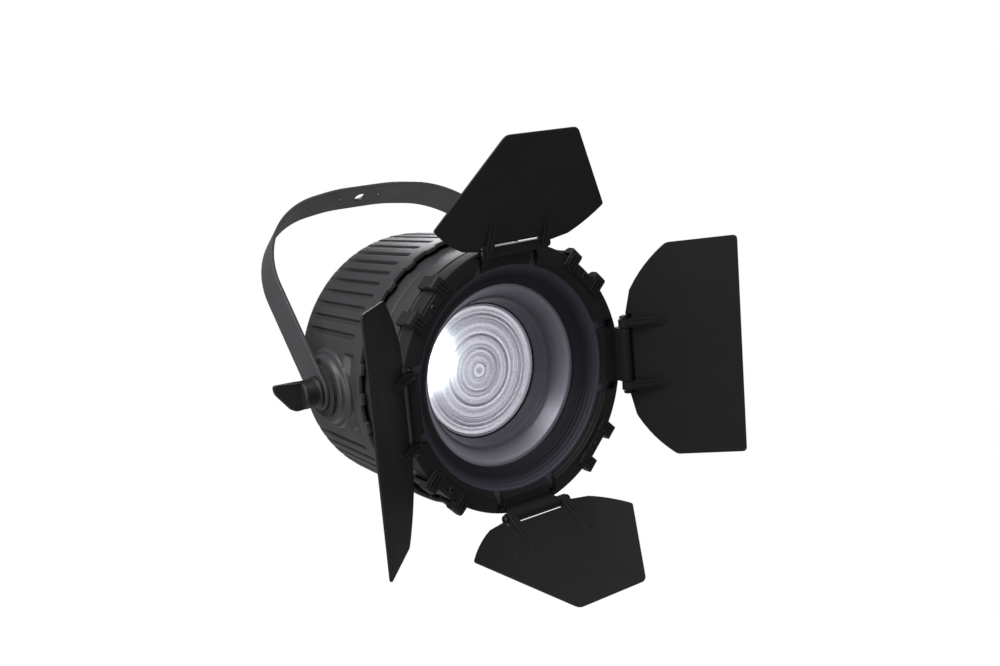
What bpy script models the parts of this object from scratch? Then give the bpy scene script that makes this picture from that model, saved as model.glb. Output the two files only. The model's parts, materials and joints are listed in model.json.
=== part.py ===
"""Theatre fresnel spotlight with a four-leaf barn door, hung from its yoke.

The shape is laid out in lamp coordinates: the light leaves along -Y, the front face of the door ring
is the plane y = 0, and the optical axis is the Y axis. The whole lamp is then shifted, so that
the world origin is the outer face of the yoke's top bar, at its bolt hole. Lengths are in metres.
"""
import math

import bmesh
import bpy
from mathutils import Matrix, Vector

MM = 0.001

# Driving dimensions
RING_RADIUS = 120 * MM             # outer radius of the door ring; the lamp's leading size
RUNNING_GAP = 0.3 * MM             # gap between pieces that touch
PIVOT_DEPTH = 120 * MM             # from the ring's face back to the tilt axis
YOKE_LEAN = math.radians(38)       # how far the yoke leans back from the lamp's upright

# Yoke
YOKE_INSIDE = 131 * MM             # half of the clear width between the arms
YOKE_STRAP = 3 * MM
YOKE_WIDTH = 34 * MM
YOKE_CORNER = 87 * MM              # inside radius of the two corners
YOKE_SHOULDER = 192 * MM           # inside height where the corners end
YOKE_TOP = 195 * MM                # inside height of the flat middle
YOKE_FLAT = 32 * MM                # half length of the flat middle
BOLT_RADIUS = 5.3 * MM

# Lamp body
RIM_RADIUS = 125.2 * MM
RIM_FRONT = 60 * MM
SLOT_COUNT = 48
SLOT_FRONT = 74 * MM
SLOT_REAR = 160 * MM
SLOT_DEPTH = 3 * MM
SLOT_BORDER = 4.4 * MM
TOOTH_HEIGHT = 3 * MM
REAR_FACE = 194 * MM
BARREL_RADIUS = 118 * MM
PAD_RADIUS = 30 * MM
PAD_FACE = 127.5 * MM
PAD_CLEAR_ANGLE = math.radians(19)
INSERT_RADIUS = 9.1 * MM
STUD_RADIUS = 4.8 * MM

# Barn door
HINGE_RADIUS = 117.5 * MM          # from the optical axis to a leaf's hinge axis
HINGE_FORWARD = 12.2 * MM          # hinge axes ahead of the ring's face
ARM_CENTRE = 29.6 * MM
ARM_WIDTH = 7.6 * MM
ARM_LENGTH = 40 * MM
KNUCKLE_RADIUS = 5.2 * MM
PIN_RADIUS = 2.0 * MM
PIN_BORE = 2.4 * MM
LEAF_THICKNESS = 1.8 * MM
LEAF_CORNER_RADIUS = 1.045 * RING_RADIUS
DOOR_SIDES = {                     # clock angle, opening at rest, half width at the tip, reach, plate offset
    "top": dict(clock=0, opening=153, tip=0.309, reach=0.913, offset=0.0),
    "right": dict(clock=90, opening=141, tip=0.856, reach=0.896, offset=-4.4 * MM),
    "bottom": dict(clock=180, opening=118, tip=0.309, reach=0.913, offset=0.0),
    "left": dict(clock=270, opening=135, tip=0.856, reach=0.896, offset=-4.4 * MM),
}
CLIP_CLOCKS = {"upper_right": 46, "lower_right": 134, "lower_left": 226, "upper_left": 314}

# Optics and drive
ROD_OFFSET = 88 * MM               # guide rods and lead screw from the optical axis
ROD_RADIUS = 3.0 * MM
ROD_BORE = 3.4 * MM
PLATE_FRONT = 122 * MM             # front face of the chassis plate

# Rear panel
SOCKETS = {"power_inlet": -46, "power_outlet": -14, "data_inlet": 18, "data_outlet": 48}
SOCKET_HEIGHT = -68 * MM
BUTTON_PLACES = (20 * MM, 32 * MM, 44 * MM, 56 * MM)
BUTTON_RADIUS = 4 * MM
PANEL_HEIGHT = 66 * MM
COVER_SCREW_RADIUS = 100 * MM

PIVOT = Vector((0, PIVOT_DEPTH, 0))
YOKE_UP = Vector((0, math.sin(YOKE_LEAN), math.cos(YOKE_LEAN)))
HANG_POINT = PIVOT + YOKE_UP * (YOKE_TOP + YOKE_STRAP)

PLACES = {}                        # each empty's place in lamp coordinates


# ---------------------------------------------------------------- tools

def linear(hex_colour):
    """Turn an sRGB hex colour into linear RGBA."""
    channels = [int(hex_colour[i:i + 2], 16) / 255 for i in (1, 3, 5)]
    return [c / 12.92 if c <= 0.04045 else ((c + 0.055) / 1.055) ** 2.4 for c in channels] + [1.0]


def make_material(name, hex_colour, roughness, metallic=0.0, glow=0.0):
    """A Principled material with one colour."""
    finish = bpy.data.materials.new(name)
    finish.use_nodes = True
    shader = finish.node_tree.nodes["Principled BSDF"]
    shader.inputs["Base Color"].default_value = linear(hex_colour)
    shader.inputs["Roughness"].default_value = roughness
    shader.inputs["Metallic"].default_value = metallic
    if glow:
        shader.inputs["Emission Color"].default_value = linear(hex_colour)
        shader.inputs["Emission Strength"].default_value = glow
    return finish


def make_empty(name, place, parent=None, turn=(0, 0, 0)):
    """An axis or a group origin; place is in lamp coordinates."""
    empty = bpy.data.objects.new(name, None)
    bpy.context.scene.collection.objects.link(empty)
    PLACES[name] = Vector(place)
    empty.rotation_euler = turn
    if parent:
        empty.parent = parent
        empty.location = PLACES[name] - PLACES[parent.name]
    else:
        empty.location = place
    return empty


def make_object(name, bm, parent, origin=None):
    """Turn a bmesh into an object; its mesh is in lamp coordinates unless origin is None."""
    if origin is not None:
        bmesh.ops.translate(bm, verts=bm.verts, vec=-origin)
    bmesh.ops.recalc_face_normals(bm, faces=bm.faces)
    mesh = bpy.data.meshes.new(name)
    bm.to_mesh(mesh)
    bm.free()
    mesh.shade_smooth()
    mesh.set_sharp_from_angle(angle=math.radians(35))
    obj = bpy.data.objects.new(name, mesh)
    bpy.context.scene.collection.objects.link(obj)
    obj.parent = parent
    if origin is not None:
        obj.location = origin - PLACES[parent.name]
    return obj


def make_piece(name, bm, finish, parent, origin=None):
    """One piece of the lamp; its origin is its parent's unless another is given."""
    piece = make_object(name, bm, parent, PLACES[parent.name] if origin is None else origin)
    piece.data.materials.append(finish)
    return piece


def make_local_piece(name, bm, finish, parent):
    """One piece whose mesh is already in its parent's own coordinates."""
    piece = make_object(name, bm, parent)
    piece.data.materials.append(finish)
    return piece


def combine(piece, bm, operation, local=False):
    """Cut a shape from a piece, or join it on, with a hidden helper object."""
    origin = None if local else piece.location + PLACES[piece.parent.name]
    helper = make_object(piece.name + "_" + operation.lower(), bm, piece.parent, origin)
    if local:
        helper.location = piece.location
        helper.rotation_euler = piece.rotation_euler
    helper.hide_render = True
    helper.display_type = "WIRE"
    modifier = piece.modifiers.new(operation.title(), "BOOLEAN")
    modifier.operation = operation
    modifier.solver = "EXACT"
    modifier.object = helper


def turned(outline, segments, along="Y", centre=(0, 0), phase=0.0):
    """Revolve a closed outline of (radius, distance) points in mm about an axis."""
    bm = bmesh.new()
    rings = []
    for step in range(segments):
        angle = 2 * math.pi * (step + phase) / segments
        cos, sin = math.cos(angle), math.sin(angle)
        ring = []
        for radius, distance in outline:
            across, up, far = radius * cos * MM, radius * sin * MM, distance * MM
            point = (centre[0] + across, far, centre[1] + up) if along == "Y" else (
                far, centre[0] + across, centre[1] + up)
            ring.append(bm.verts.new(point))
        rings.append(ring)
    count = len(outline)
    for step in range(segments):
        here, after = rings[step], rings[(step + 1) % segments]
        for i in range(count):
            j = (i + 1) % count
            if outline[i][0] > 0 or outline[j][0] > 0:
                bm.faces.new((here[i], here[j], after[j], after[i]))
    bmesh.ops.remove_doubles(bm, verts=bm.verts, dist=1e-6)
    bmesh.ops.dissolve_degenerate(bm, edges=bm.edges, dist=1e-6)
    return bm


def box_into(bm, low, high):
    """Add a box between two corners given in mm."""
    size = [(b - a) * MM for a, b in zip(low, high)]
    middle = Vector([(a + b) / 2 * MM for a, b in zip(low, high)])
    bmesh.ops.create_cube(bm, size=1.0, matrix=Matrix.Translation(middle) @ Matrix.Diagonal((*size, 1)))
    return bm


def box(low, high):
    return box_into(bmesh.new(), low, high)


def rod_into(bm, radius, start, end, segments=24):
    """Add a cylinder between two points; lengths in metres."""
    start, end = Vector(start), Vector(end)
    run = end - start
    turn = run.to_track_quat("Z", "Y").to_matrix().to_4x4()
    bmesh.ops.create_cone(bm, cap_ends=True, segments=segments, radius1=radius, radius2=radius,
                          depth=run.length, matrix=Matrix.Translation((start + end) / 2) @ turn)
    return bm


def rod(radius, start, end, segments=24):
    return rod_into(bmesh.new(), radius, start, end, segments)


def extruded(points, direction):
    """A flat outline of 3-D points, extruded along a direction."""
    bm = bmesh.new()
    face = bm.faces.new([bm.verts.new(p) for p in points])
    swept = bmesh.ops.extrude_face_region(bm, geom=[face])
    moved = [v for v in swept["geom"] if isinstance(v, bmesh.types.BMVert)]
    bmesh.ops.translate(bm, verts=moved, vec=direction)
    return bm


def arc(centre, radius, start, end, steps):
    """Points on an arc in a plane; angles in degrees."""
    angles = [math.radians(start + (end - start) * i / steps) for i in range(steps + 1)]
    return [(centre[0] + radius * math.cos(a), centre[1] + radius * math.sin(a)) for a in angles]


# ---------------------------------------------------------------- yoke

def yoke_line(offset):
    """One side of the strap, from the left arm's foot over the top to the right arm's foot."""
    side = YOKE_INSIDE + offset
    corner = (YOKE_INSIDE - YOKE_CORNER, YOKE_SHOULDER - YOKE_CORNER)
    right = [(side, -YOKE_WIDTH / 2)] + arc(corner, YOKE_CORNER + offset, 0, 90, 6)
    right.append((YOKE_FLAT, YOKE_TOP + offset))
    return [(-x, z) for x, z in right] + right[::-1]


def build_yoke(parent, finish):
    points = yoke_line(YOKE_STRAP) + yoke_line(0)[::-1]
    half = YOKE_WIDTH / 2
    bm = extruded([(x, -half, z) for x, z in points], (0, YOKE_WIDTH, 0))
    feet = [e for e in bm.edges
            if all(abs(v.co.z + half) < 1e-6 for v in e.verts)
            and abs(e.verts[0].co.y - e.verts[1].co.y) < 1e-6]
    bmesh.ops.bevel(bm, geom=feet, offset=half * 0.94, segments=4, profile=0.5, affect="EDGES")
    yoke = make_local_piece("yoke", bm, finish, parent)
    yoke.rotation_euler = (-YOKE_LEAN, 0, 0)
    outer = YOKE_INSIDE + 2 * YOKE_STRAP
    holes = rod(BOLT_RADIUS, (-outer, 0, 0), (outer, 0, 0), 16)
    for x, radius in ((0, BOLT_RADIUS), (-22 * MM, 2.2 * MM), (22 * MM, 2.2 * MM)):
        rod_into(holes, radius, (x, 0, YOKE_TOP - YOKE_STRAP), (x, 0, YOKE_TOP + 2 * YOKE_STRAP), 12)
    combine(yoke, holes, "DIFFERENCE", local=True)


def build_tilt_lock(side, parent, finish):
    """A hub with a stud into the lamp, and a paddle to turn it by; side is -1 or 1."""
    outline = [(0, 115), (STUD_RADIUS / MM, 115), (STUD_RADIUS / MM, 134.3), (14, 134.3), (14, 136.8),
               (12.6, 137.8), (12.6, 149), (11, 150.5), (0, 150.5)]
    name = "tilt_lock_left" if side < 0 else "tilt_lock_right"
    bm = turned([(r, side * x) for r, x in outline], 16, "X", (PIVOT_DEPTH, 0))
    lock = make_piece(name, bm, finish, parent)
    paddle = [(146, -11.5), (146, 13), (160, 14.2), (170, 13.8), (176, 10.8), (176.4, 6.5), (163.5, -10.5),
              (158.5, -13.4), (152, -13.2)]
    front = PIVOT_DEPTH - 3.5 * MM
    shape = extruded([(side * x * MM, front, z * MM) for x, z in paddle], (0, 7 * MM, 0))
    combine(lock, shape, "UNION")


# ---------------------------------------------------------------- lamp body

def column_angle(face):
    centre = face.calc_center_median()
    return math.atan2(centre.z, centre.x)


def build_rear_housing(parent, finish):
    """Cast shell: toothed rim, ribs between sunk slots, rounded back edge, two pivot pads."""
    rim, front = RIM_RADIUS / MM, RIM_FRONT / MM
    slot_front, slot_rear = SLOT_FRONT / MM, SLOT_REAR / MM
    outline = [(121.2, front), (rim, front), (rim, front + 8), (124.4, slot_front), (120.5, slot_rear)]
    outline += arc((105, 180), 14, 0, 90, 3)
    outline += [(104.2, 190.3), (98, 190.3), (98, 187), (114, 176), (114, 84.5), (118.4, 84.5),
                (118.4, 70.5), (121.2, 70.5)]
    bm = turned(outline, SLOT_COUNT, phase=0.5)
    bmesh.ops.recalc_face_normals(bm, faces=bm.faces)
    middle = (SLOT_FRONT + SLOT_REAR) / 2
    slots, teeth = [], []
    for face in bm.faces:
        centre = face.calc_center_median()
        from_side = abs(math.asin(math.sin(column_angle(face))))
        radius = math.hypot(centre.x, centre.z)
        if abs(centre.y - middle) < MM and radius > BARREL_RADIUS and from_side > PAD_CLEAR_ANGLE:
            slots.append(face)
        step = round(column_angle(face) / (2 * math.pi / SLOT_COUNT))
        if abs(centre.y - RIM_FRONT) < 1e-5 and step % 2 == 0:
            teeth.append(face)
    bmesh.ops.inset_individual(bm, faces=slots, thickness=SLOT_BORDER, depth=0)
    bmesh.ops.inset_individual(bm, faces=slots, thickness=0.5 * MM, depth=-SLOT_DEPTH)
    bmesh.ops.inset_individual(bm, faces=teeth, thickness=0.4 * MM, depth=TOOTH_HEIGHT)
    housing = make_piece("rear_housing", bm, finish, parent)
    pads, bores = bmesh.new(), bmesh.new()
    for side in (-1, 1):
        rod_into(pads, PAD_RADIUS, (side * 116 * MM, PIVOT_DEPTH, 0), (side * PAD_FACE, PIVOT_DEPTH, 0), 24)
        rod_into(bores, INSERT_RADIUS + 0.6 * MM, (side * 100 * MM, PIVOT_DEPTH, 0),
                 (side * 140 * MM, PIVOT_DEPTH, 0), 16)
    combine(housing, pads, "UNION")
    combine(housing, bores, "DIFFERENCE")


def build_pivot(side, parent, brass, fibre):
    """Threaded insert in the housing and the friction washer between the pad and the yoke."""
    tag = "left" if side < 0 else "right"
    bore = STUD_RADIUS / MM + 0.5
    insert = [(bore, 114.6), (INSERT_RADIUS / MM, 114.6), (INSERT_RADIUS / MM, 127.2), (bore, 127.2)]
    washer = [(bore, 127.8), (24, 127.8), (24, 130.6), (bore, 130.6)]
    for name, outline, finish in (("pivot_insert_" + tag, insert, brass),
                                  ("friction_washer_" + tag, washer, fibre)):
        bm = turned([(r, side * x) for r, x in outline], 16, "X", (PIVOT_DEPTH, 0))
        make_piece(name, bm, finish, parent)


def build_front_shells(parent, black, grey):
    """Nose barrel, stepped baffle inside its mouth, and the bezel that leads to the lens."""
    spigot = 115.4
    barrel = [(113.5, 6), (spigot, 6), (spigot, 15.8), (118, 15.8), (118, 19), (116.2, 19), (116.2, 23),
              (118, 24), (118, 84.2), (113.5, 84.2)]
    baffle = [(113.1, 6.4), (101, 6.4), (95, 10.5), (93, 10.5), (86, 16), (82.5, 20), (82.5, 24.7),
              (85.5, 24.7), (85.5, 20), (101, 10), (113.1, 10)]
    bezel = [(79.6, 25), (70.5, 38), (68.5, 38.6), (62.3, 56), (64.6, 56), (72, 39.6), (81.5, 27.5),
             (85.5, 27.5), (85.5, 25)]
    make_piece("front_barrel", turned(barrel, 48), black, parent)
    make_piece("nose_baffle", turned(baffle, 40), black, parent)
    make_piece("lens_bezel", turned(bezel, 40), grey, parent)


def build_rear_cover(parent, finish):
    """Round plate with vent slots, a display window and the holes for the controls and sockets."""
    cover = make_piece("rear_cover", turned([(0, 190.6), (103.8, 190.6), (103.8, 194), (0, 194)], 48),
                       finish, parent)
    near, far = 185 * MM, 200 * MM
    holes = bmesh.new()
    for row in range(-3, 4):
        height = row * 12
        reach = math.sqrt(44 ** 2 - height ** 2)
        box_into(holes, (-reach, 185, height - 2), (reach, 200, height + 2))
    box_into(holes, (-42.4, 185, PANEL_HEIGHT / MM - 11.4), (4.4, 200, PANEL_HEIGHT / MM + 11.4))
    for x in BUTTON_PLACES:
        rod_into(holes, BUTTON_RADIUS + 0.5 * MM, (x, near, PANEL_HEIGHT), (x, far, PANEL_HEIGHT), 12)
    for x in SOCKETS.values():
        rod_into(holes, 12 * MM, (x * MM, near, SOCKET_HEIGHT), (x * MM, far, SOCKET_HEIGHT), 16)
    rod_into(holes, 7.5 * MM, (74 * MM, near, -40 * MM), (74 * MM, far, -40 * MM), 16)
    for x, z in cover_screw_places():
        rod_into(holes, 2.3 * MM, (x, near, z), (x, far, z), 8)
    combine(cover, holes, "DIFFERENCE")


def cover_screw_places():
    angles = [math.radians(45 + 90 * i) for i in range(4)]
    return [(COVER_SCREW_RADIUS * math.cos(a), COVER_SCREW_RADIUS * math.sin(a)) for a in angles]


def build_rear_fittings(parent, plastic, steel, glass):
    """Sockets, fuse holder, display window, menu buttons, cover screws and safety eye."""
    height = SOCKET_HEIGHT
    for name, x in SOCKETS.items():
        outline = [(0, 176), (11.5, 176), (11.5, 194.3), (14.5, 194.3), (14.5, 196.2), (9.5, 196.2),
                   (9.5, 186), (0, 186)]
        make_piece(name, turned(outline, 14, centre=(x * MM, height)), plastic, parent)
    fuse = [(0, 176), (7, 176), (7, 194.3), (9, 194.3), (9, 196), (6.5, 199), (0, 199)]
    make_piece("fuse_holder", turned(fuse, 12, centre=(74 * MM, -40 * MM)), plastic, parent)
    window = box((-42, 188, PANEL_HEIGHT / MM - 11), (4, 193.5, PANEL_HEIGHT / MM + 11))
    make_piece("display_window", window, glass, parent)
    for number, x in enumerate(BUTTON_PLACES, 1):
        radius = BUTTON_RADIUS / MM
        outline = [(0, 186.5), (radius, 186.5), (radius, 196), (radius - 0.8, 196.8), (0, 196.8)]
        make_piece("menu_button_%d" % number, turned(outline, 12, centre=(x, PANEL_HEIGHT)), plastic,
                   parent, Vector((x, REAR_FACE, PANEL_HEIGHT)))
    for number, (x, z) in enumerate(cover_screw_places(), 1):
        outline = [(0, 190.8), (1.8, 190.8), (1.8, 194.3), (3.8, 194.3), (3.8, 195.6), (2.4, 196.6),
                   (0, 196.6)]
        make_piece("cover_screw_%d" % number, turned(outline, 8, centre=(x, z)), steel, parent)
    eye = make_piece("safety_eye", box((-10, 194.3, 84), (10, 196.8, 97)), steel, parent)
    blade = [(196, 84.5), (203, 84.5)] + arc((205, 90.5), 6, -60, 60, 4) + [(203, 96.5), (196, 96.5)]
    combine(eye, extruded([(-1.5 * MM, y * MM, z * MM) for y, z in blade], (3 * MM, 0, 0)), "UNION")
    centre = Vector((0, 204 * MM, 90.5 * MM))
    combine(eye, rod(3.6 * MM, centre - Vector((9 * MM, 0, 0)), centre + Vector((9 * MM, 0, 0)), 16),
            "DIFFERENCE")


# ---------------------------------------------------------------- optics and electrics

def build_zoom(parent, slide, screw_axis, steel, black, glass):
    """Fresnel lens in a carrier that runs on two rods and is driven by a lead screw."""
    lens = [(0, 57.6), (20, 58.0), (20.6, 58.7), (42, 57.9), (42.6, 58.8), (64, 58.7), (64, 62.5),
            (0, 62.5)]
    make_piece("fresnel_lens", turned(lens, 32), glass, slide)
    make_piece("lens_retainer", turned([(60.5, 56.4), (69.6, 56.4), (69.6, 58.0), (60.5, 58.0)], 32),
               black, slide)
    ring = [(64.4, 58.4), (70, 58.4), (70, 68), (58, 68), (58, 62.8), (64.4, 62.8)]
    carrier = make_piece("lens_carrier", turned(ring, 32), black, slide)
    lugs = bmesh.new()
    offset = ROD_OFFSET / MM
    box_into(lugs, (66.5, 60, -7), (offset + 6, 72, 7))
    box_into(lugs, (-offset - 6, 60, -7), (-66.5, 72, 7))
    box_into(lugs, (-7, 60, -offset - 6), (7, 72, -66.5))
    combine(carrier, lugs, "UNION")
    bores = bmesh.new()
    places = ((-ROD_OFFSET, 0), (ROD_OFFSET, 0), (0, -ROD_OFFSET))
    for x, z in places:
        rod_into(bores, ROD_BORE, (x, 50 * MM, z), (x, 80 * MM, z), 16)
    combine(carrier, bores, "DIFFERENCE")
    rear = PLATE_FRONT - RUNNING_GAP
    for name, (x, z) in zip(("guide_rod_left", "guide_rod_right"), places):
        make_piece(name, rod(ROD_RADIUS, (x, 28 * MM, z), (x, rear, z), 16), steel, parent)
    x, z = places[2]
    make_piece("lead_screw", rod(ROD_RADIUS, (x, 28 * MM, z), (x, PLATE_FRONT + 2.8 * MM, z), 16),
               steel, screw_axis)
    motor = box((-14, 125.3, -102), (14, 150, -74))
    make_piece("zoom_motor", motor, black, parent)


def build_light_engine(parent, fan_axis, metal, board, glow, black):
    """Chassis plate, LED board and array, finned heatsink, fan, and the supply behind them."""
    front = PLATE_FRONT / MM
    plate = make_piece("chassis_plate", turned([(0, front), (113.4, front), (113.4, front + 3),
                                                (0, front + 3)], 40), metal, parent)
    bore = rod(ROD_BORE + 0.2 * MM, (0, 110 * MM, -ROD_OFFSET), (0, 140 * MM, -ROD_OFFSET), 16)
    combine(plate, bore, "DIFFERENCE")
    make_piece("led_board", turned([(0, 119.9), (30, 119.9), (30, 121.7), (0, 121.7)], 24), board, parent)
    dome = [(0, 114.6)] + [(r, 119.6 - h) for r, h in ((6, 4.6), (11, 3.2), (14, 1.2), (14, 0))]
    make_piece("led_array", turned(dome + [(0, 119.6)], 16), glow, parent)
    fins, pitch, half = 11, 9.6, 1.5
    comb = [(-50, 125.3), (50, 125.3)]
    for fin in range(fins):
        middle = (fins - 1) / 2 * pitch - fin * pitch
        comb += [(middle + half, 131), (middle + half, 154), (middle - half, 154), (middle - half, 131)]
    comb[2], comb[-1] = (50, 131), (-50, 131)
    comb[3], comb[-2] = (50, 154), (-50, 154)
    make_piece("heatsink", extruded([(x * MM, y * MM, -50 * MM) for x, y in comb], (0, 0, 100 * MM)),
               metal, parent)
    frame = make_piece("fan_frame", box((-46, 157, -46), (46, 177, 46)), black, parent)
    combine(frame, rod(43 * MM, (0, 150 * MM, 0), (0, 185 * MM, 0), 24), "DIFFERENCE")
    struts = box((-45, 174, -3), (45, 176.4, 3))
    spider = rod(16 * MM, (0, 174 * MM, 0), (0, 176.4 * MM, 0), 20)
    combine(frame, struts, "UNION")
    combine(frame, spider, "UNION")
    build_fan_rotor(fan_axis, black)
    make_piece("power_supply", box((-52, 127, 56), (52, 178, 88)), metal, parent)
    make_piece("control_board", box((-50, 182.4, 54), (60, 184.2, 78)), board, parent)


def build_fan_rotor(parent, finish):
    """A hub whose every fourth side is drawn out into a swept blade."""
    blades, sides = 7, 28
    hub, reach = 17 * MM, 41 * MM
    bm = rod(hub, (0, 159 * MM, 0), (0, 172.6 * MM, 0), sides)
    walls = sorted((f for f in bm.faces if len(f.verts) == 4), key=column_angle)
    swept = bmesh.ops.extrude_discrete_faces(bm, faces=walls[::sides // blades])
    for face in swept["faces"]:
        angle = column_angle(face)
        outward = Vector((math.cos(angle), 0, math.sin(angle))) * (reach - hub)
        bmesh.ops.translate(bm, verts=face.verts, vec=outward)
        bmesh.ops.rotate(bm, verts=face.verts, cent=(0, 0, 0),
                         matrix=Matrix.Rotation(math.radians(14), 3, "Y"))
    make_piece("fan_rotor", bm, finish, parent)


# ---------------------------------------------------------------- barn door

def build_door_ring(parent, finish):
    """Ring with a bevelled mouth, a notch at each hinge arm, and a raised seat between notches."""
    outline = [(106, 0), (118.8, 0), (120, 1.2), (120, 15.2), (116.4, 15.2), (116.4, 5.2), (101, 5.2),
               (101, 4.5)]
    ring = make_piece("door_ring", turned(outline, 48), finish, parent)
    notches, seats = bmesh.new(), bmesh.new()
    for side in DOOR_SIDES.values():
        turn = Matrix.Rotation(math.radians(side["clock"]), 4, "Y")
        for direction in (-1, 1):
            middle = direction * ARM_CENTRE / MM
            part = box((middle - 3.6, -4, 90), (middle + 3.6, 8, 113.5))
            add_turned_copy(notches, part, turn)
        part = box((-23.5, -1.2, 103), (23.5, 2.5, 114.5))
        add_turned_copy(seats, part, turn)
    combine(ring, seats, "UNION")
    combine(ring, notches, "DIFFERENCE")


def add_turned_copy(target, part, turn):
    """Move a small bmesh by a matrix and add it to another."""
    bmesh.ops.transform(part, matrix=turn, verts=part.verts)
    mesh = bpy.data.meshes.new("scratch")
    part.to_mesh(mesh)
    part.free()
    target.from_mesh(mesh)
    bpy.data.meshes.remove(mesh)


def build_ring_clip(name, clock, parent, finish):
    """Clip with two lugs that hook over the ring into the groove round the barrel."""
    axis = make_empty(name + "_place", PLACES[parent.name], parent, (0, math.radians(clock), 0))
    hook = [(-3, 108), (-3, 127.5), (22.4, 127.5), (22.4, 116.4), (19.6, 116.4), (19.6, 120.6),
            (-0.3, 120.6), (-0.3, 108)]
    near, width = 9.7, 16

    def lug(start):
        return extruded([(start * MM, y * MM, z * MM) for y, z in hook], (width * MM, 0, 0))

    clip = make_local_piece(name, lug(near), finish, axis)
    combine(clip, lug(-near - width), "UNION", local=True)
    combine(clip, box((-12, -2.6, 109), (12, -0.4, 118)), "UNION", local=True)
    # the hook's outer half would foul the round barrel, so it is cut back to the groove
    keep_out = turned([(100, 18), (116.8, 18), (116.8, 24), (100, 24)], 48, phase=0.5)
    combine(clip, keep_out, "DIFFERENCE", local=True)


def leaf_outline(side):
    """Half of a leaf: from the hinge edge round the ring-shaped corner to the outer edge."""
    scale = RING_RADIUS
    start, knee = 0.016, 0.356 if side["tip"] > 0.5 else 0.251
    centre = 0.979
    corner = LEAF_CORNER_RADIUS / scale
    points = [(0.31, 0.06), (0.31, start)]
    for step in range(5):
        v = start + (knee - start) * step / 4
        points.append((math.sqrt(corner ** 2 - (v - centre) ** 2), v))
    tip, reach, round_off = side["tip"], side["reach"], 0.03
    points += [(tip, reach - round_off), (tip - 0.3 * round_off, reach - 0.3 * round_off),
               (tip - round_off, reach)]
    return [(x * scale, v * scale) for x, v in points]


def build_door_leaf(tag, side, parent, black, steel):
    """One leaf with its two arms, the block that carries it, and the hinge pin."""
    clock = math.radians(side["clock"])
    station = make_empty("door_" + tag, PLACES[parent.name], parent, (0, clock, 0))
    axis = Vector((0, -HINGE_FORWARD, HINGE_RADIUS))
    depth = HINGE_FORWARD / MM
    reach = HINGE_RADIUS / MM
    block = make_local_piece("hinge_block_" + tag,
                             box((-25, -depth - 4.2, reach - 4.8), (25, -0.3 - 1.2, reach + 4)),
                             black, station)
    combine(block, rod(PIN_BORE, axis - Vector((40 * MM, 0, 0)), axis + Vector((40 * MM, 0, 0)), 12),
            "DIFFERENCE", local=True)
    head, flange = 4.0, 37
    pin = turned([(0, -flange), (head, -flange), (head, -34), (PIN_RADIUS / MM, -34),
                  (PIN_RADIUS / MM, 34), (head, 34), (head, flange), (0, flange)], 10, "X")
    bmesh.ops.translate(pin, verts=pin.verts, vec=axis)
    make_local_piece("hinge_pin_" + tag, pin, steel, station)

    hinge = bpy.data.objects.new("hinge_" + tag, None)
    bpy.context.scene.collection.objects.link(hinge)
    hinge.parent = station
    hinge.location = axis
    hinge.rotation_euler = (-math.radians(side["opening"]), 0, 0)
    offset, thick = side["offset"], LEAF_THICKNESS
    half = leaf_outline(side)
    outline = half + [(-x, v) for x, v in reversed(half)]
    bm = extruded([(x, offset - thick / 2, -v) for x, v in outline], (0, thick, 0))
    leaf = make_local_piece("door_leaf_" + tag, bm, black, hinge)
    root = offset - 0.3 * thick
    arm = arc((0, 0), KNUCKLE_RADIUS, 60, 300, 7) + [(10 * MM, root), (ARM_LENGTH, root),
                                                      (ARM_LENGTH, offset + thick)]
    for direction in (-1, 1):
        start = direction * ARM_CENTRE - ARM_WIDTH / 2
        shape = extruded([(start, y, -v) for v, y in arm], (ARM_WIDTH, 0, 0))
        combine(leaf, shape, "UNION", local=True)
    bore = rod(PIN_BORE, (-40 * MM, 0, 0), (40 * MM, 0, 0), 12)
    combine(leaf, bore, "DIFFERENCE", local=True)


# ---------------------------------------------------------------- assembly

def main():
    for old in list(bpy.data.objects):
        bpy.data.objects.remove(old, do_unlink=True)

    black = make_material("black_painted_metal", "#232324", 0.55)
    barrel = make_material("black_cast_aluminium", "#2b2b2c", 0.5)
    plastic = make_material("black_plastic", "#1b1b1c", 0.45)
    grey = make_material("grey_reflector", "#8d8c96", 0.4, 0.3)
    steel = make_material("zinc_plated_steel", "#9a9a9c", 0.35, 1.0)
    brass = make_material("brass", "#b08d57", 0.35, 1.0)
    fibre = make_material("friction_fibre", "#4a4238", 0.85)
    metal = make_material("bare_aluminium", "#a9abae", 0.4, 1.0)
    board = make_material("circuit_board", "#1f4a33", 0.5)
    glass = make_material("clear_glass", "#e6e6f2", 0.1)
    glow = make_material("led_light", "#f4f1ff", 0.4, glow=8.0)

    fixture = make_empty("fixture", (0, 0, 0))
    fixture.location = -HANG_POINT
    yoke_axis = make_empty("yoke_axis", PIVOT, fixture)
    head = make_empty("head_tilt", PIVOT, fixture)
    slide = make_empty("lens_zoom", (0, 0, 0), head)
    screw_axis = make_empty("screw_spin", (0, 0, -ROD_OFFSET), head)
    fan_axis = make_empty("fan_spin", (0, 165 * MM, 0), head)
    door = make_empty("door_turn", (0, 0, 0), head)

    build_yoke(yoke_axis, black)
    for side in (-1, 1):
        build_tilt_lock(side, yoke_axis, plastic)
        build_pivot(side, head, brass, fibre)
    build_rear_housing(head, barrel)
    build_front_shells(head, barrel, grey)
    build_rear_cover(head, barrel)
    build_rear_fittings(head, plastic, steel, glass)
    build_zoom(head, slide, screw_axis, steel, plastic, glass)
    build_light_engine(head, fan_axis, metal, board, glow, plastic)
    build_door_ring(door, black)
    for tag, clock in CLIP_CLOCKS.items():
        build_ring_clip("ring_clip_" + tag, clock, door, black)
    for tag, side in DOOR_SIDES.items():
        build_door_leaf(tag, side, door, black, steel)


main()
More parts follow.
